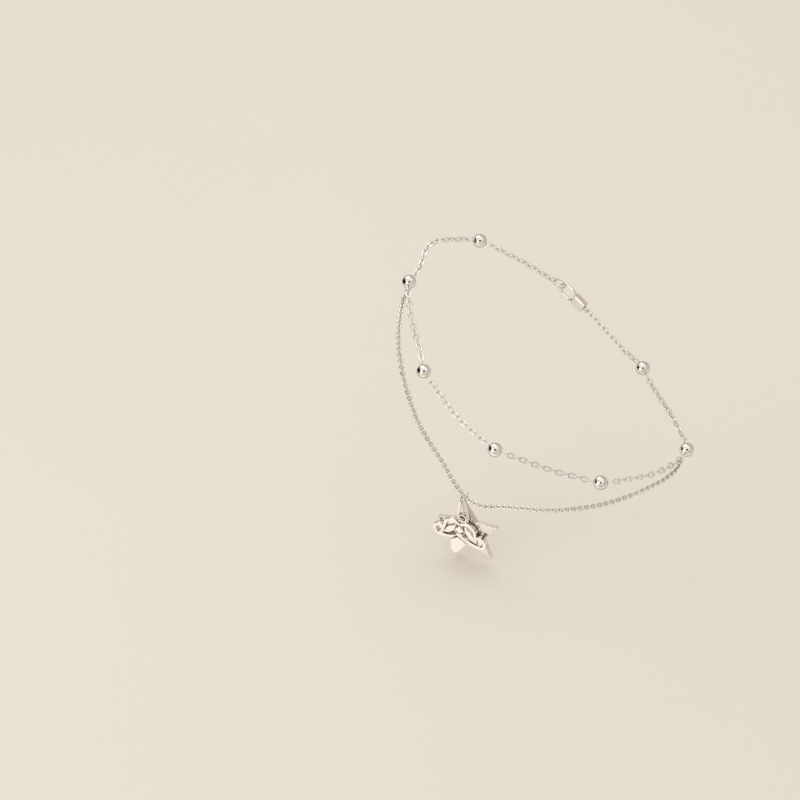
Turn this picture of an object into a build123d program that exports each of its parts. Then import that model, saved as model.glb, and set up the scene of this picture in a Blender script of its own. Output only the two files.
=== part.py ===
from build123d import *
import math
import os

# Charm anklet in polished silver, two strands worn round an ankle. The upper strand is an oval cable
# chain that goes all the way round, with a ball in every 30 mm. The lower strand is a finer chain
# that hangs from the upper one on the outer side and carries a star and a scroll charm on one ring.
# Millimetres. +Z is up, -X points to the toes, +X to the heel, -Y is the outer side of the ankle.
# The origin is on the ankle's axis, in the middle of the loop.

# Cable chain of the upper strand
CABLE_LENGTH = 2.66
CABLE_WIDTH = 1.63
CABLE_WIRE = 0.37
CABLE_FLAT = 0.30  # links are rolled flat to this thickness
CABLE_PITCH = 1.75
LINKS_PER_SPAN = 13  # loose links between two balls
SPANS = 8

# Balls, each with one end link soldered into either side
BALL_DIAMETER = 4.0
SOLDER_REACH = 2.90  # ball centre to the centre of its soldered link
SPAN = 2 * SOLDER_REACH + (LINKS_PER_SPAN + 1) * CABLE_PITCH
BALL_LIFT = 1.4  # a ball rides this much further off the skin than the links
BALL_LIFT_SPREAD = 4.9  # and lifts the chain over about this distance either side

# Fine chain of the lower strand
FINE_LENGTH = 1.58
FINE_WIDTH = 1.26
FINE_WIRE = 0.26
FINE_LINKS = 149
BACK_JOIN_SPAN, BACK_JOIN_LINK = 3, 13  # span and loose cable link that the fine chain ends on
BACK_JOIN_SLIP = 0.15  # and it hangs this far short of that link's middle
JOIN_REACH = 0.62  # end of its route from the cable wire that its end link hangs on
JOIN_TURN = (24, 31)  # degrees from square that it leaves the cable chain at, front and back
JOIN_OUT = (40, 0)  # degrees that it leans out from the skin there
END_EXTRA = (0.6, 0.5)  # its end links are longer by this, front and back

# Clasp, in place of one ball on the inner side
CLASP_SPAN = 6  # balls are counted from 0 at the instep
CLASP_LINKS = 11  # loose links before the clasp
RING_LINKS = 12  # loose links after the clasp's ring
END_GAP = 0.17
CLASP_EYE = 2.0
CLASP_EYE_WIRE = 0.5
CLASP_RING = 4.0
CLASP_RING_WIRE = 0.5
CLASP_HOOK_LENGTH = 6.2
CLASP_HOOK_WIDTH = 4.8
CLASP_HOOK_WIRE = 0.8
CLASP_BODY_WIDTH = 3.4
CLASP_BODY_HEIGHT = 2.0

# Charm ring round one link of the fine chain, and the eyes that hang on it
CHARM_LINK = 74
CHARM_RING = 3.2
CHARM_RING_WIRE = 0.4
CHARM_RING_LEAN = 32  # degrees
CHARM_RING_DROP = 0.5  # ring centre below the chain's centre
EYE_HOLE = 1.1
EYE_DIAMETER = 1.9
EYE_THICK = 0.7
EYE_RAISE = 0.13  # eye centre above the ring's lowest wire
CHARM_GAP = 0.16  # between the two charms

# Star charm, lying behind
STAR_RADIUS = 10.1
STAR_NOTCH = 0.458  # notch radius over tip radius
STAR_THICK = 1.6
STAR_EYE_REACH = 11.35  # star centre to eye centre
STAR_TURN = 7.5  # degrees from upright, its top towards the toes
TAB_REACH, TAB_RADIUS = 7.8, 0.8  # root of the eye's tab, in the top arm

# Scroll charm, in front: two wings, a boss, a petal and a neck with its eye
SCROLL_BASE = 0.7
SCROLL_RIM = 1.35
SCROLL_RIM_WIDTH = 1.0
SCROLL_FLOOR = 0.45
SCROLL_TURN = -3.5  # its top towards the heel
SCROLL_EYE_REACH = 9.9  # boss centre to eye centre
BOSS_CENTRE, BOSS_RADIUS = (0, -0.25), 1.25
BOSS_TOP = 1.8
HUMP_START, HUMP_TOP, NOTCH = (0, 1.9), (2.7, 2.75), (5.25, -0.85)
LOBE_TIP, LOBE_BASE = (8.55, -2.65), (6.8, -5.0)
BELLY, HUB_BASE = (4.0, -4.75), (0, -3.0)
BAR_FOOT, BAR_WIDTH = (5.25, -3.3), 0.55  # the bar from the notch down, between leaf and lobe
LEAF_TIP, LEAF_BACK, LEAF_ROOT, LEAF_FRONT = (5.15, -3.75), (3.55, -0.35), (1.25, 0.95), (2.75, -2.6)
LEAF_HEIGHT = 0.95
PETAL = [(-0.35, -2.4), (2.2, -5.2), (-0.3, -9.2), (-1.6, -10.4), (-2.9, -9.1), (-3.2, -5.5)]
PETAL_CORNER = 0.85
PETAL_EDGE = 0.5
PETAL_HEIGHT = 1.25
NECK_CENTRE, NECK_RADIUS, NECK_HOLE = (0.65, 4.0), 2.1, 0.95
NECK_RIM_WIDTH = 0.5
NECK_RIM_HEIGHT = 1.1

# The upper strand round the ankle: 180 is the instep, 270 the outer side, 360 the heel
LOOP_STATIONS = [
    # angle, radius, height
    (180, 41.4, 18.5),
    (195, 39.3, 14.9),
    (210, 35.9, 9.6),
    (225, 34.2, 6.1),
    (240, 32.4, -0.3),
    (270, 30.3, -7.3),
    (300, 31.3, -12.3),
    (330, 36.7, -15.8),
    (360, 41.4, -16.7),
    (390, 31.5, -11.2),
    (420, 24.6, -2.3),
    (450, 23.6, 5.5),
    (480, 27.9, 13.2),
    (495, 32.6, 17.1),
    (510, 39.1, 20.9),
    (525, 45.2, 21.7),
]
FIRST_BALL = 2.75  # distance of the first ball past the instep

# The lower strand, between its two joins
DROP_STATIONS = [
    # angle, radius, height
    (192.8, 42.1, 13.9),
    (205.0, 41.5, 10.4),
    (215.1, 41.1, 5.7),
    (224.0, 40.0, -2.4),
    (235.0, 38.8, -9.2),
    (244.2, 36.3, -17.3),
    (253.2, 35.2, -24.1),
    (262.0, 34.7, -26.3),
    (274.9, 33.8, -25.0),
    (295.0, 34.6, -23.5),
    (311.7, 36.3, -22.3),
    (321.8, 37.9, -21.3),
    (331.2, 40.0, -19.6),
    (341.4, 41.2, -19.0),
    (346.5, 41.9, -18.8),
    (351.0, 42.2, -18.7),
]
CURVE_STEPS = 900

# The strands are turned about their own length, to lie on a slope: (angle round the ankle, degrees)
LINK_LEAN = [
    (0, 27),
    (10, 10),
    (40, 0),
    (160, 0),
    (180, 3),
    (222, 9),
    (232, 31),
    (256, 38),
    (272, 51),
    (340, 51),
    (352, 44),
    (360, 27),
]
END_FADE = 6  # fine links over which the lower strand twists, from square at either end


class Route:
    """A smooth line, read off by the distance along it."""

    def __init__(self, points, closed):
        self.points = points
        self.closed = closed
        self.marks = [0.0]
        for start, end in zip(points, points[1:]):
            self.marks.append(self.marks[-1] + (end - start).length)
        self.length = self.marks[-1]

    def point(self, distance):
        if self.closed:
            distance %= self.length
        low, high = 0, len(self.marks) - 1
        while high - low > 1:
            middle = (low + high) // 2
            if self.marks[middle] <= distance:
                low = middle
            else:
                high = middle
        share = (distance - self.marks[low]) / (self.marks[high] - self.marks[low])
        return self.points[low] + (self.points[high] - self.points[low]) * share

    def along(self, distance):
        reach = CABLE_PITCH / 4
        return (self.point(distance + reach) - self.point(distance - reach)).normalized()

    def outward(self, distance):
        along = self.along(distance)
        return Vector(along.Y, -along.X, 0).normalized()

    def abreast(self, point):
        """Distance along this loop of its point at the same angle round the ankle."""
        heading = Vector(point.X, point.Y, 0).normalized()

        def off_angle(mark):
            near = self.point(mark)
            return -heading.dot(Vector(near.X, near.Y, 0).normalized())

        return min(self.marks, key=off_angle)


def link_lean(point):
    """Degrees that links at this point are turned about their length."""
    angle = math.degrees(math.atan2(point.Y, point.X)) % 360
    for (start, low), (end, high) in zip(LINK_LEAN, LINK_LEAN[1:]):
        if start <= angle <= end:
            return low + (high - low) * (angle - start) / (end - start)


def link_place(route, distance, outward, edge_on, lean):
    """Location of a link: its length along the route, lying flat on the skin or edge on."""
    along = route.along(distance)
    side = along.cross(outward).normalized()
    normal = side if edge_on else side.cross(along)
    return Location(Plane(origin=route.point(distance), x_dir=along, z_dir=normal)) * Rot(lean, 0, 0)


def loop_place(loop, distance, edge_on):
    lean = link_lean(loop.point(distance))
    return link_place(loop, distance, loop.outward(distance), edge_on, lean)


def station_points(stations, scale=1.0):
    points = []
    for angle, radius, height in stations:
        turn = math.radians(angle)
        points.append(Vector(scale * radius * math.cos(turn), scale * radius * math.sin(turn), height))
    return points


def sampled(curve):
    return [curve.position_at(step / CURVE_STEPS) for step in range(CURVE_STEPS + 1)]


def lifted(route):
    """The loop again, standing further off the skin at each ball."""
    points = []
    for point, mark in zip(route.points, route.marks):
        spans = (mark - FIRST_BALL) / route.length * SPANS
        from_ball = abs(spans - round(spans)) * SPAN
        lift = BALL_LIFT * math.exp(-((from_ball / BALL_LIFT_SPREAD) ** 2))
        along = (route.point(mark + 0.3) - route.point(mark - 0.3)).normalized()
        points.append(point + Vector(along.Y, -along.X, 0).normalized() * lift)
    return Route(points, closed=True)


def loop_route():
    """The upper strand, its girth set so that its length is a whole number of spans."""
    scale = 1.0
    for _ in range(4):
        plain = Edge.make_spline(station_points(LOOP_STATIONS, scale), periodic=True)
        route = lifted(Route(sampled(plain), closed=True))
        scale *= SPANS * SPAN / route.length
    return route


def oval_link(length, width, wire):
    """A closed link of round wire, its length along X and lying in the XY plane."""
    run = (length - width) / 2
    bend = (width - wire) / 2
    path = Wire(
        [
            Edge.make_line((-run, -bend, 0), (run, -bend, 0)),
            Edge.make_three_point_arc((run, -bend, 0), (run + bend, 0, 0), (run, bend, 0)),
            Edge.make_line((run, bend, 0), (-run, bend, 0)),
            Edge.make_three_point_arc((-run, bend, 0), (-run - bend, 0, 0), (-run, -bend, 0)),
        ]
    )
    section = Plane(origin=(-run, -bend, 0), z_dir=(1, 0, 0)) * Circle(wire / 2)
    return sweep(section, path)


def cable_link():
    return oval_link(CABLE_LENGTH, CABLE_WIDTH, CABLE_WIRE) & Box(CABLE_LENGTH, CABLE_WIDTH, CABLE_FLAT)


def ring(diameter, wire):
    return Torus((diameter - wire) / 2, wire / 2)


def cable_places(loop):
    """Location of every loose cable link, and of the two soldered links of each ball."""
    loose, soldered = [], {}
    for span in range(SPANS):
        ball = FIRST_BALL + span * SPAN
        first = ball + SOLDER_REACH
        if span != CLASP_SPAN:
            soldered[span] = [loop_place(loop, ball - SOLDER_REACH, False), loop_place(loop, first, False)]
        start, end = 1, LINKS_PER_SPAN
        if span == CLASP_SPAN - 1:
            end = CLASP_LINKS
        if span == CLASP_SPAN:
            start = LINKS_PER_SPAN - RING_LINKS + 1
        for link in range(start, end + 1):
            loose.append(loop_place(loop, first + link * CABLE_PITCH, link % 2 == 1))
    return loose, soldered


def ball(loop, span, soldered):
    """A ball with its two soldered links, one solid."""
    middle = loop_place(loop, FIRST_BALL + span * SPAN, True)
    solid = middle * Rot(0, 0, 90) * Sphere(BALL_DIAMETER / 2)
    for place in soldered:
        solid += place * cable_link()
    return solid


def drop_route(loop):
    """The lower strand, from the soldered link below the first ball to a link near the fifth."""
    wire = (CABLE_WIDTH - CABLE_WIRE) / 2
    front = FIRST_BALL + SOLDER_REACH
    back = front + BACK_JOIN_SPAN * SPAN + BACK_JOIN_LINK * CABLE_PITCH - BACK_JOIN_SLIP
    ends, headings = [], []
    for distance, way, turn, out in zip((front, back), (1, -1), JOIN_TURN, JOIN_OUT):
        level = link_place(loop, distance, loop.outward(distance), True, -out)
        down, along = level.z_axis.direction, level.x_axis.direction
        lean = math.radians(turn)
        heading = down * math.cos(lean) + along * (way * math.sin(lean))
        link = loop_place(loop, distance, True)
        wire_side = link.z_axis.direction if distance == front else link.y_axis.direction
        ends.append(level.position + wire_side * wire + heading * JOIN_REACH)
        headings.append(heading * way)
    points = [ends[0]] + station_points(DROP_STATIONS) + [ends[1]]
    chords = Route(points, closed=False)
    curve = Edge.make_spline(points, tangents=headings, parameters=chords.marks, scale=False)
    return Route(sampled(curve), closed=False)


def star_charm():
    """Five-pointed star with its eye on a tab at the origin, face up the Z axis."""
    corners = []
    for corner in range(10):
        reach = STAR_RADIUS * (STAR_NOTCH if corner % 2 else 1)
        turn = math.radians(90 + 36 * corner)
        corners.append((reach * math.cos(turn), reach * math.sin(turn)))
    plate = extrude(make_face(Polyline(*corners, close=True)), STAR_THICK)
    root = Pos(0, TAB_REACH) * Circle(TAB_RADIUS)
    tab = make_hull(root.edges() + (Pos(0, STAR_EYE_REACH) * Circle(EYE_DIAMETER / 2)).edges())
    plate += Pos(0, 0, STAR_THICK - EYE_THICK) * extrude(tab, EYE_THICK)
    plate -= Pos(0, STAR_EYE_REACH) * extrude(Circle(EYE_HOLE / 2), STAR_THICK)
    return Pos(0, -STAR_EYE_REACH) * plate


def wing(side):
    """Outline of one half of the scroll: a hump, a notch, and a lobe that curls up."""

    def at(point):
        return (side * point[0], point[1])

    return make_face(
        [
            ThreePointArc(at(HUMP_START), at(HUMP_TOP), at(NOTCH)),
            ThreePointArc(at(NOTCH), at(LOBE_TIP), at(LOBE_BASE)),
            ThreePointArc(at(LOBE_BASE), at(BELLY), at(HUB_BASE)),
            Line(at(HUB_BASE), at(HUMP_START)),
        ]
    )


def wing_solid(side):
    """One half of the scroll: raised rim, sunk floor, a bar across and a leaf on the floor."""
    outline = wing(side)
    well = offset(outline, -SCROLL_RIM_WIDTH, kind=Kind.ARC)
    solid = extrude(outline, SCROLL_RIM) - Pos(0, 0, SCROLL_FLOOR) * extrude(well, SCROLL_RIM)
    top, foot = Vector(side * NOTCH[0], NOTCH[1]), Vector(side * BAR_FOOT[0], BAR_FOOT[1])
    bar = SlotCenterToCenter((top - foot).length - 2 * BAR_WIDTH, BAR_WIDTH)
    turn = math.degrees(math.atan2((top - foot).Y, (top - foot).X))
    middle = (top + foot) / 2
    solid += Pos(middle.X, middle.Y) * Rot(0, 0, turn) * extrude(bar, SCROLL_RIM)
    leaf = make_face(
        [
            ThreePointArc(
                (side * LEAF_TIP[0], LEAF_TIP[1]),
                (side * LEAF_BACK[0], LEAF_BACK[1]),
                (side * LEAF_ROOT[0], LEAF_ROOT[1]),
            ),
            ThreePointArc(
                (side * LEAF_ROOT[0], LEAF_ROOT[1]),
                (side * LEAF_FRONT[0], LEAF_FRONT[1]),
                (side * LEAF_TIP[0], LEAF_TIP[1]),
            ),
        ]
    )
    return solid + extrude(leaf, LEAF_HEIGHT)


def petal_outline():
    outline = make_face(Polyline(*PETAL, close=True))
    return fillet(outline.vertices(), PETAL_CORNER)


def neck_outline():
    hub = Pos(*NECK_CENTRE) * Circle(NECK_RADIUS)
    tip = Pos(0, SCROLL_EYE_REACH) * Circle(EYE_DIAMETER / 2)
    return make_hull(hub.edges() + tip.edges())


def boss():
    """A low dome on the scroll's middle."""
    rise = BOSS_TOP - SCROLL_RIM
    radius = (BOSS_RADIUS**2 + rise**2) / (2 * rise)
    dome = Pos(0, 0, BOSS_TOP - radius) * Sphere(radius)
    button = extrude(Circle(BOSS_RADIUS), SCROLL_RIM) + (dome & Pos(0, 0, BOSS_TOP) * Box(4, 4, 2 * rise))
    return Pos(*BOSS_CENTRE) * button


def scroll_charm():
    """Cast scroll with its eye at the origin, back on the XY plane and relief up the Z axis."""
    petal = petal_outline()
    rim = Pos(*NECK_CENTRE) * Circle(NECK_HOLE + NECK_RIM_WIDTH)
    hole = Pos(*NECK_CENTRE) * Circle(NECK_HOLE)
    eye_hole = Pos(0, SCROLL_EYE_REACH) * Circle(EYE_HOLE / 2)
    solid = extrude(neck_outline(), SCROLL_BASE) + extrude(rim, NECK_RIM_HEIGHT)
    solid += wing_solid(1)
    solid += wing_solid(-1)
    solid += boss()
    solid += extrude(petal, SCROLL_BASE) + extrude(offset(petal, -PETAL_EDGE), PETAL_HEIGHT)
    solid -= extrude(hole, 2) + extrude(eye_hole, 2)
    return Pos(0, -SCROLL_EYE_REACH) * solid


def clasp():
    """Plain closed lobster clasp along X, its eye's outer end at the origin."""
    length = clasp_length()
    eye = Pos(CLASP_EYE / 2) * ring(CLASP_EYE, CLASP_EYE_WIRE)
    hook = oval_link(CLASP_HOOK_LENGTH, CLASP_HOOK_WIDTH, CLASP_HOOK_WIRE)
    hook = Pos(length - CLASP_HOOK_LENGTH / 2) * hook
    start = CLASP_EYE - CLASP_EYE_WIRE / 2
    end = length - CLASP_HOOK_LENGTH + CLASP_HOOK_WIRE
    body = Pos((start + end) / 2) * Box(end - start, CLASP_BODY_WIDTH, CLASP_BODY_HEIGHT)
    body = fillet(body.edges(), 0.45)
    return eye + body + hook


def clasp_room():
    """Distances along the loop, from the last ball, of the clasp's ends and of its ring's."""
    inner = CABLE_LENGTH / 2 - CABLE_WIRE - END_GAP
    start = SOLDER_REACH + CLASP_LINKS * CABLE_PITCH + inner - CLASP_EYE_WIRE
    ring_end = 2 * SPAN - (SOLDER_REACH + RING_LINKS * CABLE_PITCH + inner - CLASP_RING_WIRE)
    hook_end = ring_end - CLASP_RING + CLASP_RING_WIRE + END_GAP + CLASP_HOOK_WIRE
    return start, hook_end, ring_end


def clasp_length():
    start, hook_end, _ = clasp_room()
    return hook_end - start


def charm_frames(drop):
    """Where the charm ring sits, and the eye centre of the charms that hang on it."""
    pitch = drop.length / (FINE_LINKS - 1)
    hang = drop.point((CHARM_LINK - 1) * pitch)
    lean = math.radians(CHARM_RING_LEAN)
    up = Vector(math.sin(lean), 0, math.cos(lean))
    across = Vector(math.cos(lean), 0, -math.sin(lean))
    centre = hang - up * CHARM_RING_DROP
    ring_place = Location(Plane(origin=centre, x_dir=up, z_dir=across))
    eye = centre - up * ((CHARM_RING - CHARM_RING_WIRE) / 2 - EYE_RAISE)
    return ring_place, eye


def facing_out(origin, turn):
    """Location whose Z axis points to the outer side and whose Y axis leans by turn from upright."""
    lean = math.radians(turn)
    return Location(Plane(origin=origin, x_dir=(math.cos(lean), 0, math.sin(lean)), z_dir=(0, -1, 0)))


def write(name, shape):
    shape.label = name
    export_step(shape, os.path.join("parts", name + ".step"))


def main():
    os.makedirs("parts", exist_ok=True)
    loop = loop_route()
    loose, soldered = cable_places(loop)
    link = cable_link()
    write("cable_chain", Compound([place * link for place in loose]))
    for number, (span, places) in enumerate(soldered.items(), start=1):
        write(f"ball_{number}", ball(loop, span, places))

    drop = drop_route(loop)
    fine_link = oval_link(FINE_LENGTH, FINE_WIDTH, FINE_WIRE)
    ends = {}
    for count, way, extra in zip((0, FINE_LINKS - 1), (-1, 1), END_EXTRA):
        ends[count] = Pos(way * extra / 2) * oval_link(FINE_LENGTH + extra, FINE_WIDTH, FINE_WIRE)
    pitch = drop.length / (FINE_LINKS - 1)
    print("loop", round(loop.length, 2), "drop", round(drop.length, 2), "fine pitch", round(pitch, 4))
    fine = []
    for count in range(FINE_LINKS):
        point = drop.point(count * pitch)
        outward = loop.outward(loop.abreast(point))
        settled = min(1, count / END_FADE, (FINE_LINKS - 1 - count) / END_FADE)
        lean = 90 + (link_lean(point) - 90) * settled
        place = link_place(drop, count * pitch, outward, count % 2 == 1, lean)
        fine.append(place * ends.get(count, fine_link))
    write("fine_chain", Compound(fine))

    ring_place, eye = charm_frames(drop)
    write("charm_ring", ring_place * ring(CHARM_RING, CHARM_RING_WIRE))
    star_back = eye + Vector(0, CHARM_GAP / 2 + STAR_THICK, 0)
    scroll_back = eye - Vector(0, CHARM_GAP / 2, 0)
    write("star_charm", facing_out(star_back, STAR_TURN) * star_charm())
    write("scroll_charm", facing_out(scroll_back, SCROLL_TURN) * scroll_charm())

    start, hook_end, ring_end = clasp_room()
    last_ball = FIRST_BALL + (CLASP_SPAN - 1) * SPAN
    eye_end, tip = loop.point(last_ball + start), loop.point(last_ball + hook_end)
    along = (tip - eye_end).normalized()
    outward = Vector(along.Y, -along.X, 0).normalized()
    write("clasp", Location(Plane(origin=eye_end, x_dir=along, z_dir=outward)) * clasp())
    ring_middle = loop_place(loop, last_ball + ring_end - CLASP_RING / 2, True)
    write("clasp_ring", ring_middle * ring(CLASP_RING, CLASP_RING_WIRE))
    print("clasp", round(clasp_length(), 2), "loose links", len(loose), "+", len(fine))


main()
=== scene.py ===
import math
import random

import bmesh
import bpy
import numpy as np
from mathutils import Matrix, Vector


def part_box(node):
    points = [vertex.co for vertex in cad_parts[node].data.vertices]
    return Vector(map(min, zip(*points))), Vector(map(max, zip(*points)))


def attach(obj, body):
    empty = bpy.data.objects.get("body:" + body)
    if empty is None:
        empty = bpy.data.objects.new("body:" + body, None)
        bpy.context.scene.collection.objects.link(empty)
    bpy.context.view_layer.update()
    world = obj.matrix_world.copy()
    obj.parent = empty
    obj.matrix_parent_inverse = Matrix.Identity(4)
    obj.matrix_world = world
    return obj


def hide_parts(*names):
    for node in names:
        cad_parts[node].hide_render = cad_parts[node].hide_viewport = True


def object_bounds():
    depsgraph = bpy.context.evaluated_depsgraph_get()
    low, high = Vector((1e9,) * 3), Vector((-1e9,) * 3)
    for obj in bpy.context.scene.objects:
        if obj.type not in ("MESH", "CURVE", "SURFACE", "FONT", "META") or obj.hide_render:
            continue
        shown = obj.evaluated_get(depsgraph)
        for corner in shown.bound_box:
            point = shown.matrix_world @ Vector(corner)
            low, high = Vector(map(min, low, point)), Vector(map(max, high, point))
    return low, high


# Looks of a worn charm anklet in polished silver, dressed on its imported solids. The chains are
# rebuilt link by link where the solids have them, and both charms are remade as soft-edged
# castings. Lengths are in millimetres until a mesh is made, which is in metres.
MM = 0.001

# Cable chain link, rolled flat and worn
CABLE_WIDTH = 1.70
CABLE_WIRE = 0.39
CABLE_SIDE = 0.46  # wire along the link's sides
CABLE_FLAT = 0.34  # thickness it is rolled to
CABLE_BENDS = 9  # steps round each end of a link
CABLE_SIDES = 12  # sides of its wire

# Fine chain link, swollen to a knob by its thick sides
FINE_WIDTH = 1.44
FINE_WIRE = 0.33
FINE_SIDE = 0.48
FINE_FLAT = 0.36
FINE_BENDS = 8
FINE_SIDES = 9

# Wear of both chains' links
SEAM_SWELL = 0.14  # how much thicker a link is where it is soldered shut
SEAM_REACH, SEAM_SPREAD = 0.16, 0.5  # how far the solder runs, along the link and over its side
WIRE_SQUARENESS = 0.8  # power of the wire's section: 1 is round, and less is squarer
LINK_SWAY = 7.0  # degrees that worn links lean from square, at most

# Eyes of the charms: radius of each and of its hole
SOLID_EYE = 0.95  # both eyes in the solids
STAR_EYE, STAR_EYE_HOLE, STAR_EYE_THICK = 0.9, 0.55, 0.7
SCROLL_EYE, SCROLL_EYE_HOLE = 0.74, 0.42
DRILL_LENGTH = 8  # more than twice the thickest charm
CROWN_LEVELS = 5  # steps up a cushioned top

# Star charm, measured from its middle
STAR_RADIUS = 10.1
STAR_NOTCH = 0.458  # notch radius over tip radius
STAR_THICK = 1.6
STAR_EYE_REACH = 11.35
STAR_TURN = 7.5  # degrees from upright, its top towards the toes
TAB_REACH, TAB_RADIUS = 7.8, 0.8  # root of the eye's tab, in the top arm
HAMMER = 0.03  # unevenness of its front
STAR_VOXEL, STAR_SOFTENING = 0.1, 3  # grain of its skin, and passes that round its edges

# Scroll charm, measured from where its wings meet
SCROLL_BASE = 0.7
SCROLL_RIM = 1.35
SCROLL_RIM_WIDTH = 1.0
SCROLL_FLOOR = 0.45
SCROLL_TURN = -3.5  # its top towards the heel
SCROLL_EYE_REACH = 9.9
SCROLL_VOXEL, SCROLL_SOFTENING = 0.08, 2
BOSS_CENTRE, BOSS_RADIUS = (0, -0.25), 1.25
BOSS_TOP = 1.8
HUMP_START, HUMP_TOP, NOTCH = (0, 1.9), (2.7, 2.75), (5.25, -0.85)
LOBE_TIP, LOBE_BASE = (8.55, -2.65), (6.8, -5.0)
BELLY, HUB_BASE = (4.0, -4.75), (0, -3.0)
BAR_TOP, BAR_FOOT, BAR_WIDTH = (5.2, -1.2), (5.25, -3.3), 0.55
LEAF_TIP, LEAF_BACK, LEAF_ROOT, LEAF_FRONT = (5.15, -3.75), (3.55, -0.35), (1.25, 0.95), (2.75, -2.6)
LEAF_EDGE, LEAF_CROWN = 0.85, 0.35
CREASE = [(-1.5, -3.75), (-0.75, -3.05), (0.0, -3.6), (0.8, -4.0)]  # where the petal leaves the wings
PETAL = [(-0.35, -3.3), (2.2, -5.2), (-0.3, -9.2), (-1.6, -10.4), (-2.9, -9.1), (-3.2, -5.5)]
PETAL_CORNER, PETAL_EDGE, PETAL_CROWN = 0.85, 0.95, 0.3
NECK_CENTRE, NECK_RADIUS, NECK_HOLE = (0.65, 4.0), 2.0, 0.95
NECK_RIM, NECK_FLOOR = 0.7, 0.3
COLLAR, COLLAR_TOP = 0.4, 1.0  # raised ring round the neck's hole
BEAD, BEAD_PITCH, BEAD_LIFT = 0.33, 0.82, 0.2  # beads along the neck's edge
MIDDLE_BEADS, MIDDLE_BEAD_START, MIDDLE_BEAD_PITCH = 3, 5.9, 0.9  # beads up its middle

# Cuts in the scroll's front
CUT_SLOPE = 8  # rise of their walls over run
CUT_LEVEL = 0.3  # nothing under this height is cut
MOAT_FLOOR, MOAT_GAP, MOAT_WIDTH = 0.7, 0.15, 0.14  # round the boss
CREASE_FLOOR, CREASE_WIDTH = 0.35, 0.32

# Camera and stage
BLACK = (0.008, 0.008, 0.009)
WARM_WALL = (0.58, 0.51, 0.45)
CAMERA_AZIMUTH = 31.9
CAMERA_ELEVATION = 36.7
CAMERA_ROLL = -3.1
CAMERA_AIM = (-33.3, -25.6, -5.6)
CAMERA_DISTANCE = 640
LENS = 102.4
SENSOR = 36
FLOOR_GAP = 1.5  # floor below the lowest charm tip
FLOOR_SIZE = 6000

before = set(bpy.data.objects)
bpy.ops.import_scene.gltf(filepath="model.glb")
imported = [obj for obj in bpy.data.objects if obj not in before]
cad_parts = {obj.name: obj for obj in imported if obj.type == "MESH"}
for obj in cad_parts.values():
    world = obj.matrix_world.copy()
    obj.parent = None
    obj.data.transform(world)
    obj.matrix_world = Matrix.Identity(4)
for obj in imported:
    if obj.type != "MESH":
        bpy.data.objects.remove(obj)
cad_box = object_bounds()


# ---------------------------------------------------------------- materials


def silver(name, slot, tint, polish, haze, scratch, tarnish_and_shade, reach):
    """Polished silver: hazy patches, fine scratches, and hollows darkened by tarnish that polishing misses
    and by painted shade.

    polish is its least roughness, haze the patches per metre, scratch the strength of the marks,
    the argument after it what is left of the tint in a hollow under tarnish and painted shade, and reach how
    wide a hollow is, in millimetres.
    """
    material = bpy.data.materials.new(name)
    material.use_nodes = True
    nodes, links = material.node_tree.nodes, material.node_tree.links
    shader = nodes["Principled BSDF"]
    shader.inputs["Metallic"].default_value = 1
    shader.inputs["Specular Tint"].default_value = (0.4, 0.39, 0.38, 1)  # darker where seen edge on
    place = nodes.new("ShaderNodeTexCoord").outputs["Object"]

    clouds = nodes.new("ShaderNodeTexNoise")
    clouds.inputs["Scale"].default_value = haze
    clouds.inputs["Detail"].default_value = 5
    links.new(place, clouds.inputs["Vector"])
    rough = nodes.new("ShaderNodeMapRange")
    rough.inputs["From Min"].default_value = 0.3
    rough.inputs["From Max"].default_value = 0.75
    rough.inputs["To Min"].default_value = polish
    rough.inputs["To Max"].default_value = polish * 2.2
    links.new(clouds.outputs["Fac"], rough.inputs["Value"])
    links.new(rough.outputs["Result"], shader.inputs["Roughness"])

    # Painted shade and tarnish: ambient occlusion darkens the base colour in hollows and where parts touch,
    # where shade falls, and also stands for real tarnish there
    hollow_shade = nodes.new("ShaderNodeAmbientOcclusion")
    hollow_shade.samples = 8
    hollow_shade.inputs["Distance"].default_value = reach * MM
    depth = nodes.new("ShaderNodeValToRGB")
    depth.color_ramp.elements[0].position = 0.25
    depth.color_ramp.elements[0].color = (*[tarnish_and_shade * part for part in tint], 1)
    depth.color_ramp.elements[1].position = 0.8
    depth.color_ramp.elements[1].color = (*tint, 1)
    links.new(hollow_shade.outputs["AO"], depth.inputs["Fac"])
    warm = nodes.new("ShaderNodeMixRGB")
    warm.blend_type = "MULTIPLY"
    warm.inputs["Color2"].default_value = (0.97, 0.94, 0.88, 1)
    links.new(clouds.outputs["Fac"], warm.inputs["Fac"])
    links.new(depth.outputs["Color"], warm.inputs["Color1"])
    links.new(warm.outputs["Color"], shader.inputs["Base Color"])

    marks = nodes.new("ShaderNodeTexNoise")
    marks.inputs["Scale"].default_value = haze * 6
    marks.inputs["Detail"].default_value = 3
    marks.inputs["Distortion"].default_value = 1.5
    links.new(place, marks.inputs["Vector"])
    bump = nodes.new("ShaderNodeBump")
    bump.inputs["Strength"].default_value = scratch
    bump.inputs["Distance"].default_value = 0.02 * MM
    links.new(marks.outputs["Fac"], bump.inputs["Height"])
    links.new(bump.outputs["Normal"], shader.inputs["Normal"])
    material["slot"] = slot
    return material


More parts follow.
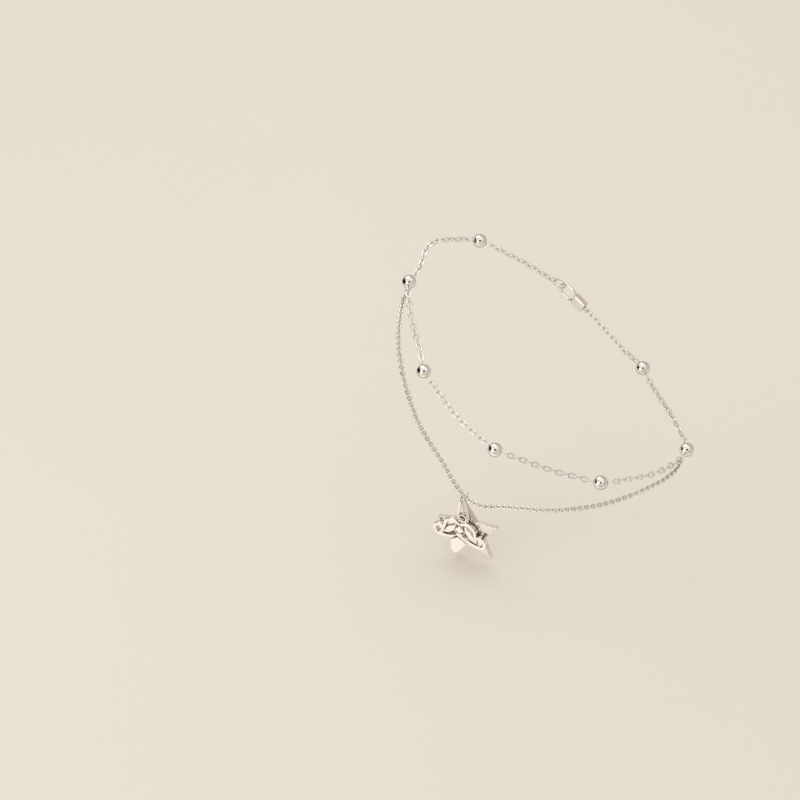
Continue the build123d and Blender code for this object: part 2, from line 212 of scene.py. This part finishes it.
def pale_floor():
    material = bpy.data.materials.new("pale_floor")
    material.use_nodes = True
    nodes, links = material.node_tree.nodes, material.node_tree.links
    shader = nodes["Principled BSDF"]
    shader.inputs["Roughness"].default_value = 0.9
    shader.inputs["Specular IOR Level"].default_value = 0
    grain = nodes.new("ShaderNodeTexNoise")
    grain.inputs["Scale"].default_value = 14
    grain.inputs["Detail"].default_value = 6
    tone = nodes.new("ShaderNodeValToRGB")
    tone.color_ramp.elements[0].color = (0.74, 0.70, 0.64, 1)
    tone.color_ramp.elements[1].color = (0.79, 0.75, 0.69, 1)
    links.new(grain.outputs["Fac"], tone.inputs["Fac"])
    links.new(tone.outputs["Color"], shader.inputs["Base Color"])
    return material


# ---------------------------------------------------------------- mesh helpers


def piece(name, points, faces, material):
    """A smooth mesh object from points in metres."""
    mesh = bpy.data.meshes.new(name)
    mesh.from_pydata([tuple(point) for point in points], [], faces)
    mesh.validate()
    mesh.polygons.foreach_set("use_smooth", [True] * len(mesh.polygons))
    mesh.materials.append(material)
    made = bpy.data.objects.new(name, mesh)
    bpy.context.scene.collection.objects.link(made)
    return made


def stand_for(made, node):
    """The piece rides on the body and is shown instead of the CAD node."""
    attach(made, "root")
    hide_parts(node)


def loose_solids(node):
    """The points of each loose solid of a CAD node, in millimetres.

    Each solid's points follow one another in the mesh, and points on its seams are there twice,
    so a solid ends where no edge and no such pair reaches across.
    """
    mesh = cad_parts[node].data
    points = np.empty(len(mesh.vertices) * 3)
    mesh.vertices.foreach_get("co", points)
    points = points.reshape(-1, 3) / MM
    ends = np.empty(len(mesh.edges) * 2, dtype=int)
    mesh.edges.foreach_get("vertices", ends)
    ends = ends.reshape(-1, 2)
    order = np.arange(len(points))
    _, place = np.unique(np.round(points, 4), axis=0, return_inverse=True)
    place = place.ravel()
    last = np.zeros(len(points), dtype=int)
    np.maximum.at(last, place, order)
    reach = np.zeros(len(points), dtype=int)
    np.add.at(reach, np.concatenate([ends.min(1), order]), 1)
    np.add.at(reach, np.concatenate([ends.max(1), last[place]]), -1)
    breaks = np.flatnonzero(np.cumsum(reach) == 0) + 1
    return np.split(points, breaks[:-1])


def link_frame(points, before):
    """Middle of a link and its axes: along its length, across it, and square to it."""
    spread = points - points.mean(0)
    _, axes = np.linalg.eigh(spread.T @ spread)
    along, across = axes[:, 2], axes[:, 1]
    if before is not None and along @ before < 0:
        along = -along
    square = np.cross(along, across)
    frame_axes = np.array([along, across, square])
    reach = points @ frame_axes.T
    middle = (reach.min(0) + reach.max(0)) / 2 @ frame_axes
    return middle, frame_axes, reach.max(0) - reach.min(0)


def squared(share):
    """A cosine or sine, pushed towards the corners of a square."""
    return math.copysign(abs(share) ** WIRE_SQUARENESS, share)


def link_shape(length, width, wire, side_wire, flat, bends, sides):
    """Points and faces of one soldered link, its length along X and lying in the XY plane."""
    run = (length - width) / 2
    path = []
    for end in (1, -1):
        for step in range(bends + 1):
            path.append((end * run, math.radians(-90 * end + 180 * step / bends)))
    points, faces = [], []
    for x, turn in path:
        from_seam = ((x - run) / SEAM_REACH) ** 2 + ((math.sin(turn) - 1) / SEAM_SPREAD) ** 2
        swell = 1 + SEAM_SWELL * math.exp(-from_seam)
        thick = wire + (side_wire - wire) * math.sin(turn) ** 2
        reach = (width - thick) / 2
        for side in range(sides):
            angle = 2 * math.pi * side / sides
            off = thick / 2 * swell * squared(math.cos(angle))
            rise = flat / 2 * swell * squared(math.sin(angle))
            points.append((x + math.cos(turn) * (reach + off), math.sin(turn) * (reach + off), rise))
    count = len(path)
    for at in range(count):
        for side in range(sides):
            a, b = at * sides + side, at * sides + (side + 1) % sides
            c, d = (at + 1) % count * sides + (side + 1) % sides, (at + 1) % count * sides + side
            faces.append((a, b, c, d))
    return np.array(points), faces


def chain(node, width, wire, side_wire, flat, bends, sides, material):
    """All the links of one chain, each where its solid is, joined in one mesh."""
    sway = random.Random(node)
    points, faces, before = [], [], None
    shapes = {}
    for solid in loose_solids(node):
        middle, axes, size = link_frame(solid, before)
        before = axes[0]
        length = round(size[0], 1)
        if length not in shapes:
            shapes[length] = link_shape(size[0], width, wire, side_wire, flat, bends, sides)
        shape, shape_faces = shapes[length]
        lean = math.radians(sway.uniform(-LINK_SWAY, LINK_SWAY))
        across = axes[1] * math.cos(lean) + axes[2] * math.sin(lean)
        square = axes[2] * math.cos(lean) - axes[1] * math.sin(lean)
        if sway.random() < 0.5:
            across, square = -across, -square
        start = sum(len(part) for part in points)
        points.append(middle + shape @ np.array([axes[0], across, square]))
        faces += [tuple(start + corner for corner in face) for face in shape_faces]
    made = piece(node + "_links", np.concatenate(points) * MM, faces, material)
    stand_for(made, node)


# ---------------------------------------------------------------- cast charms


def arc(start, through, end, steps):
    """Points on the round arc from start to end by way of a third point, without the last."""
    a, b, c = Vector(start), Vector(through), Vector(end)
    ab, ac = b - a, c - a
    twice = 2 * (ab.x * ac.y - ab.y * ac.x)
    centre = a + Vector((ac.y * ab.length_squared - ab.y * ac.length_squared,
                         ab.x * ac.length_squared - ac.x * ab.length_squared)) / twice
    first = math.atan2(a.y - centre.y, a.x - centre.x)
    sweep = math.atan2(c.y - centre.y, c.x - centre.x) - first
    if twice < 0 and sweep > 0:
        sweep -= 2 * math.pi
    if twice > 0 and sweep < 0:
        sweep += 2 * math.pi
    radius = (a - centre).length
    turns = [first + sweep * step / steps for step in range(steps)]
    return [(centre.x + radius * math.cos(turn), centre.y + radius * math.sin(turn)) for turn in turns]


def circle(centre, radius, steps=40):
    turns = [2 * math.pi * step / steps for step in range(steps)]
    return [(centre[0] + radius * math.cos(turn), centre[1] + radius * math.sin(turn)) for turn in turns]


def stitch(shape, here, there):
    """Add the faces between two rings of points."""
    for at in range(len(here)):
        after = (at + 1) % len(here)
        shape.faces.new((here[at], here[after], there[after], there[at]))


def slab(shape, outline, low, high, crown=0.0):
    """Add a closed plate to a bmesh; crown lifts its middle like a cushion's."""
    middle = (sum(x for x, _ in outline) / len(outline), sum(y for _, y in outline) / len(outline))
    rings = [(1.0, low)]
    levels = CROWN_LEVELS if crown else 1
    for level in range(levels):
        share = 1 - level / levels
        rings.append((share, high + crown * math.sqrt(1 - share * share)))
    made = []
    for share, height in rings:
        ring = []
        for x, y in outline:
            across, up = middle[0] + (x - middle[0]) * share, middle[1] + (y - middle[1]) * share
            ring.append(shape.verts.new((across, up, height)))
        made.append(ring)
    for lower, upper in zip(made, made[1:]):
        stitch(shape, lower, upper)
    shape.faces.new(made[0][::-1])
    shape.faces.new(made[-1])


def band(shape, outline, width, low, high):
    """Add a closed flat-topped rim just inside an outline."""
    inner = shrunk(outline, width)
    rings = []
    for path, height in ((outline, low), (outline, high), (inner, high), (inner, low)):
        rings.append([shape.verts.new((x, y, height)) for x, y in path])
    for here, there in zip(rings, rings[1:] + rings[:1]):
        stitch(shape, here, there)


def bead(shape, centre, height):
    place = Matrix.Translation((*centre, height))
    bmesh.ops.create_icosphere(shape, subdivisions=2, radius=BEAD, matrix=place)


def bar(start, end, width):
    """Outline of a straight bar."""
    along = (Vector(end) - Vector(start)).normalized() * (width / 2)
    off = Vector((along.y, -along.x))
    a, b = Vector(start), Vector(end)
    return [tuple(corner) for corner in (a + off, b + off, b - off, a - off)]


def shrunk(outline, by):
    """The outline moved inwards by a distance, corner by corner."""
    count = len(outline)
    area = sum(Vector(outline[at - 1]).cross(Vector(outline[at])) for at in range(count))
    inside = 1 if area > 0 else -1
    moved = []
    for at in range(count):
        before, here, after = Vector(outline[at - 1]), Vector(outline[at]), Vector(outline[(at + 1) % count])
        way = ((here - before).normalized() + (after - here).normalized()).normalized()
        moved.append((here.x - way.y * by * inside, here.y + way.x * by * inside))
    return moved


def mirrored(points, side):
    return [(side * x, y) for x, y in points]


def wing_outline():
    return (
        arc(HUMP_START, HUMP_TOP, NOTCH, 18)
        + arc(NOTCH, LOBE_TIP, LOBE_BASE, 18)
        + arc(LOBE_BASE, BELLY, HUB_BASE, 16)
        + [HUB_BASE]
    )


def drawn_out(centre, radius, reach, eye, steps=24):
    """Outline of a round drawn out to an eye of this radius at the top."""
    top = (0, reach)
    gap = Vector(top) - Vector(centre)
    heading = math.atan2(gap.y, gap.x)
    open_by = math.acos((radius - eye) / gap.length)
    points = []
    for middle, size, start, end in (
        (centre, radius, heading + open_by, heading + 2 * math.pi - open_by),
        (top, eye, heading - open_by, heading + open_by),
    ):
        for step in range(steps + 1):
            turn = start + (end - start) * step / steps
            points.append((middle[0] + size * math.cos(turn), middle[1] + size * math.sin(turn)))
    return points


def rounded(corners, radius, steps=6):
    """A closed outline with each corner turned by a smooth curve."""
    points = []
    for at in range(len(corners)):
        before, here, after = (Vector(corners[(at + step) % len(corners)]) for step in (-1, 0, 1))
        start = here + (before - here).normalized() * radius
        end = here + (after - here).normalized() * radius
        for step in range(steps + 1):
            share = step / steps
            bend = start * (1 - share) ** 2 + here * (2 * share * (1 - share)) + end * share**2
            points.append(tuple(bend))
    return points


def spaced(outline, pitch):
    """Points about one pitch apart along an outline."""
    line = np.array(outline)
    marks = np.concatenate([[0], np.cumsum(np.linalg.norm(np.diff(line, axis=0), axis=1))])
    stops = np.linspace(0, marks[-1], round(marks[-1] / pitch))
    return list(zip(np.interp(stops, marks, line[:, 0]), np.interp(stops, marks, line[:, 1])))


def scroll_blank():
    """The scroll's plates, rims and buttons, still overlapping, in its own plane."""
    shape = bmesh.new()
    neck = drawn_out(NECK_CENTRE, NECK_RADIUS, SCROLL_EYE_REACH, SCROLL_EYE)
    slab(shape, neck, 0, NECK_FLOOR)
    band(shape, neck, NECK_RIM, 0, SCROLL_BASE)
    slab(shape, circle((0, SCROLL_EYE_REACH), SCROLL_EYE), 0, SCROLL_BASE)
    for place in spaced(shrunk(neck, NECK_RIM / 2), BEAD_PITCH):
        if (Vector(place) - Vector((0, SCROLL_EYE_REACH))).length > SCROLL_EYE:
            bead(shape, place, SCROLL_BASE + BEAD_LIFT)
    for count in range(MIDDLE_BEADS):
        inwards = 1 - count / (MIDDLE_BEADS + 1)
        place = (NECK_CENTRE[0] * inwards, MIDDLE_BEAD_START + MIDDLE_BEAD_PITCH * count)
        bead(shape, place, NECK_FLOOR)
    band(shape, circle(NECK_CENTRE, NECK_HOLE + COLLAR), COLLAR, 0, COLLAR_TOP)
    for side in (1, -1):
        outline = mirrored(wing_outline(), side)
        slab(shape, outline, 0, SCROLL_FLOOR)
        band(shape, outline, SCROLL_RIM_WIDTH, 0, SCROLL_RIM)
        top, foot = mirrored([BAR_TOP, BAR_FOOT], side)
        slab(shape, bar(top, foot, BAR_WIDTH), 0, SCROLL_RIM)
        leaf = arc(LEAF_TIP, LEAF_BACK, LEAF_ROOT, 12) + arc(LEAF_ROOT, LEAF_FRONT, LEAF_TIP, 12)
        slab(shape, mirrored(leaf, side), 0, LEAF_EDGE, crown=LEAF_CROWN)
    slab(shape, circle(BOSS_CENTRE, BOSS_RADIUS), 0, SCROLL_RIM, crown=BOSS_TOP - SCROLL_RIM)
    slab(shape, rounded(PETAL, PETAL_CORNER), 0, PETAL_EDGE, crown=PETAL_CROWN)
    return shape


def engraved(points):
    """Cut the moat round the boss and the crease above the petal into the scroll's front."""
    spot = points[:, :2]
    depth = np.full(len(points), BOSS_TOP)
    away = np.abs(np.linalg.norm(spot - BOSS_CENTRE, axis=1) - BOSS_RADIUS - MOAT_GAP)
    depth = np.minimum(depth, MOAT_FLOOR + CUT_SLOPE * np.maximum(away - MOAT_WIDTH / 2, 0))
    for start, end in zip(CREASE, CREASE[1:]):
        a, b = np.array(start), np.array(end)
        share = np.clip((spot - a) @ (b - a) / ((b - a) @ (b - a)), 0, 1)
        away = np.linalg.norm(spot - a - share[:, None] * (b - a), axis=1)
        depth = np.minimum(depth, CREASE_FLOOR + CUT_SLOPE * np.maximum(away - CREASE_WIDTH / 2, 0))
    points[:, 2] = np.where(points[:, 2] > CUT_LEVEL, np.minimum(points[:, 2], depth), points[:, 2])
    return points


def hammered(points):
    """Leave the star's front slightly uneven, in crossed ripples a few millimetres long."""
    x, y = points[:, 0], points[:, 1]
    wave = np.sin(1.9 * x + 0.7 * y) * np.sin(1.5 * y - 0.9 * x) + 0.6 * np.sin(3.1 * x - 2.3 * y + 1.0)
    points[:, 2] += np.where(points[:, 2] > STAR_THICK / 2, HAMMER * wave, 0)
    return points


def star_blank():
    """The star's plate with its eye on a tab, in its own plane."""
    shape = bmesh.new()
    corners = []
    for corner in range(10):
        reach = STAR_RADIUS * (STAR_NOTCH if corner % 2 else 1)
        turn = math.radians(90 + 36 * corner)
        corners.append((reach * math.cos(turn), reach * math.sin(turn)))
    slab(shape, corners, 0, STAR_THICK)
    tab = drawn_out((0, TAB_REACH), TAB_RADIUS, STAR_EYE_REACH, STAR_EYE)
    slab(shape, tab, STAR_THICK - STAR_EYE_THICK, STAR_THICK)
    return shape


def melt(made, voxel):
    """Make one skin of all that overlaps."""
    remesh = made.modifiers.new("melt", "REMESH")
    remesh.mode = "VOXEL"
    remesh.voxel_size = voxel


def drill(centre, radius):
    """A rod to cut a hole with."""
    mesh = bpy.data.meshes.new("drill")
    rod = bmesh.new()
    place = Matrix.Translation((*centre, 0))
    bmesh.ops.create_cone(
        rod, cap_ends=True, segments=40, radius1=radius, radius2=radius, depth=DRILL_LENGTH, matrix=place
    )
    rod.to_mesh(mesh)
    rod.free()
    made = bpy.data.objects.new("drill", mesh)
    bpy.context.scene.collection.objects.link(made)
    return made


def cast(name, blank, eye_reach, turn, holes, node, material, voxel, softening, finish):
    """A charm as it comes from the mould: its pieces melted together and its edges softened."""
    _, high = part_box(node)
    mesh = bpy.data.meshes.new(name)
    blank.normal_update()
    blank.to_mesh(mesh)
    blank.free()
    made = bpy.data.objects.new(name, mesh)
    bpy.context.scene.collection.objects.link(made)
    melt(made, voxel)
    drills = [drill(centre, radius) for centre, radius in holes]
    for tool in drills:
        cut = made.modifiers.new("cut", "BOOLEAN")
        cut.operation = "DIFFERENCE"
        cut.object = tool
    melt(made, voxel)
    ready = bpy.data.meshes.new_from_object(made.evaluated_get(bpy.context.evaluated_depsgraph_get()))
    for used in (made, *drills):
        bpy.data.objects.remove(used)

    points = np.empty(len(ready.vertices) * 3)
    ready.vertices.foreach_get("co", points)
    points = finish(points.reshape(-1, 3))
    lean = math.radians(turn)
    right = np.array([math.cos(lean), 0, math.sin(lean)])
    up = np.array([-math.sin(lean), 0, math.cos(lean)])
    front = np.array([0, -1, 0])
    node_points = np.array([tuple(v.co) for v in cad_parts[node].data.vertices])
    top = node_points[node_points[:, 2].argmax()] / MM
    eye = np.array([top[0], high.y / MM, high.z / MM - SOLID_EYE])
    placed = eye + (points - [0, eye_reach, 0]) @ np.array([right, up, front])
    faces = [tuple(face.vertices) for face in ready.polygons]
    charm = piece(name, placed * MM, faces, material)
    settle = charm.modifiers.new("settle", "SMOOTH")
    settle.factor = 0.5
    settle.iterations = softening
    stand_for(charm, node)


# ---------------------------------------------------------------- stage


def add_floor(height):
    bpy.ops.mesh.primitive_plane_add(size=FLOOR_SIZE * MM, location=(0, 0, height))
    floor = bpy.context.object
    floor.name = "floor"
    floor.data.materials.append(pale_floor())


def towards(azimuth, elevation):
    """Unit vector from the object to a place at these angles; azimuth 0 is in front, on -Y."""
    a, e = math.radians(azimuth), math.radians(elevation)
    return Vector((math.sin(a) * math.cos(e), -math.cos(a) * math.cos(e), math.sin(e)))


def softbox(name, azimuth, elevation, distance, size, power):
    light = bpy.data.lights.new(name, "AREA")
    light.shape = "RECTANGLE"
    light.size, light.size_y = size[0] * MM, size[1] * MM
    light.energy = power
    holder = bpy.data.objects.new(name, light)
    bpy.context.scene.collection.objects.link(holder)
    holder.location = towards(azimuth, elevation) * distance * MM
    holder.rotation_mode = "QUATERNION"
    holder.rotation_quaternion = towards(azimuth, elevation).to_track_quat("Z", "Y")


def card(name, place, facing, size, colour):
    """A dark flag or a bounce card, seen only in the polished metal and casting no shadow."""
    bpy.ops.mesh.primitive_plane_add(size=1)
    made = bpy.context.object
    made.name = name
    made.scale = (size[0] * MM, size[1] * MM, 1)
    made.location = Vector(place) * MM
    made.rotation_mode = "QUATERNION"
    made.rotation_quaternion = Vector(facing).to_track_quat("Z", "Y")
    material = bpy.data.materials.new(name)
    material.use_nodes = True
    shader = material.node_tree.nodes["Principled BSDF"]
    shader.inputs["Base Color"].default_value = (*BLACK, 1)
    shader.inputs["Roughness"].default_value = 0.9
    shader.inputs["Specular IOR Level"].default_value = 0
    shader.inputs["Emission Color"].default_value = (*colour, 1)
    shader.inputs["Emission Strength"].default_value = 1
    made.data.materials.append(material)
    made.visible_camera = False
    made.visible_diffuse = False
    made.visible_shadow = False


def far_card(name, azimuth, elevation, distance, size, colour):
    """A card square on to the object, at these angles and this distance."""
    way = towards(azimuth, elevation)
    card(name, way * distance, way, size, colour)


def add_world():
    world = bpy.data.worlds.new("studio")
    bpy.context.scene.world = world
    world.use_nodes = True
    nodes, links = world.node_tree.nodes, world.node_tree.links
    way = nodes.new("ShaderNodeTexCoord").outputs["Generated"]
    split = nodes.new("ShaderNodeSeparateXYZ")
    links.new(way, split.inputs["Vector"])
    sky = nodes.new("ShaderNodeValToRGB")
    sky.color_ramp.elements[0].position = 0.05
    sky.color_ramp.elements[0].color = (0.58, 0.51, 0.44, 1)
    sky.color_ramp.elements[1].position = 0.55
    sky.color_ramp.elements[1].color = (0.97, 0.94, 0.88, 1)
    links.new(split.outputs["Z"], sky.inputs["Fac"])
    back = nodes["Background"]
    back.inputs["Strength"].default_value = 1
    links.new(sky.outputs["Color"], back.inputs["Color"])


def add_camera():
    back = towards(CAMERA_AZIMUTH, CAMERA_ELEVATION)
    data = bpy.data.cameras.new("camera")
    data.lens, data.sensor_width = LENS, SENSOR
    data.clip_start, data.clip_end = 0.01, 20
    camera = bpy.data.objects.new("camera", data)
    bpy.context.scene.collection.objects.link(camera)
    camera.location = (Vector(CAMERA_AIM) + back * CAMERA_DISTANCE) * MM
    upright = (-back).to_track_quat("-Z", "Y")
    roll = Matrix.Rotation(math.radians(CAMERA_ROLL), 4, "Z")
    camera.rotation_mode = "QUATERNION"
    camera.rotation_quaternion = (upright.to_matrix().to_4x4() @ roll).to_quaternion()
    bpy.context.scene.camera = camera


# ---------------------------------------------------------------- build

# Five copies of one silver whose tints differ part by part, from the scroll's lightest to the star's darkest:
# painted light and painted shade matching how light falls on each part, not a difference in the metal
chain_silver = silver("chain_silver_polished", "chain_silver", (0.90, 0.89, 0.87), 0.07, 500, 0.2, 0.45, 0.22)
fine_silver = silver("fine_silver_polished", "chain_silver", (0.86, 0.84, 0.81), 0.06, 500, 0.2, 0.36, 0.25)
ball_silver = silver("ball_silver_polished", "ball_silver", (0.92, 0.91, 0.89), 0.03, 260, 0.08, 0.3, 0.4)
star_silver = silver("star_silver_cast", "charm_silver", (0.81, 0.78, 0.75), 0.11, 300, 0.3, 0.6, 0.8)
charm_silver = silver("charm_silver_cast", "charm_silver", (0.97, 0.95, 0.92), 0.07, 300, 0.3, 0.35, 0.8)

chain(
    "cable_chain", CABLE_WIDTH, CABLE_WIRE, CABLE_SIDE, CABLE_FLAT, CABLE_BENDS, CABLE_SIDES, chain_silver
)
chain("fine_chain", FINE_WIDTH, FINE_WIRE, FINE_SIDE, FINE_FLAT, FINE_BENDS, FINE_SIDES, fine_silver)
for node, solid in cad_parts.items():
    kind = ball_silver if node.startswith("ball") else chain_silver
    solid.data.materials.clear()
    solid.data.materials.append(kind)

cast(
    "scroll", scroll_blank(), SCROLL_EYE_REACH, SCROLL_TURN,
    [(NECK_CENTRE, NECK_HOLE), ((0, SCROLL_EYE_REACH), SCROLL_EYE_HOLE)],
    "scroll_charm", charm_silver, SCROLL_VOXEL, SCROLL_SOFTENING, engraved,
)
cast(
    "star", star_blank(), STAR_EYE_REACH, STAR_TURN,
    [((0, STAR_EYE_REACH), STAR_EYE_HOLE)],
    "star_charm", star_silver, STAR_VOXEL, STAR_SOFTENING, hammered,
)

bpy.context.scene.view_settings.view_transform = "Standard"
floor_height = cad_box[0].z - FLOOR_GAP * MM
add_floor(floor_height)
add_world()
softbox("window", -22, 11, 600, (420, 240), 0.5)
softbox("skylight", -125, 64, 800, (420, 300), 0.65)
card("bounce", (-18, -59, floor_height / MM + 0.8), (0, 0, 1), (80, 50), (1.02, 0.95, 0.87))
far_card("warm_side", 135, 14, 300, (560, 330), WARM_WALL)
far_card("warm_back", 178, 40, 420, (460, 330), WARM_WALL)
far_card("left_flag", -66, -2, 200, (260, 270), BLACK)
far_card("room", 36, 38, 760, (500, 330), BLACK)
far_card("low_flag", 30, -27, 110, (80, 24), BLACK)
far_card("heel_flag", 78, -6, 130, (24, 40), BLACK)
far_card("high_flag", -30, 66, 500, (160, 50), BLACK)
far_card("bar_flag", -62, 46, 500, (40, 220), BLACK)
add_camera()
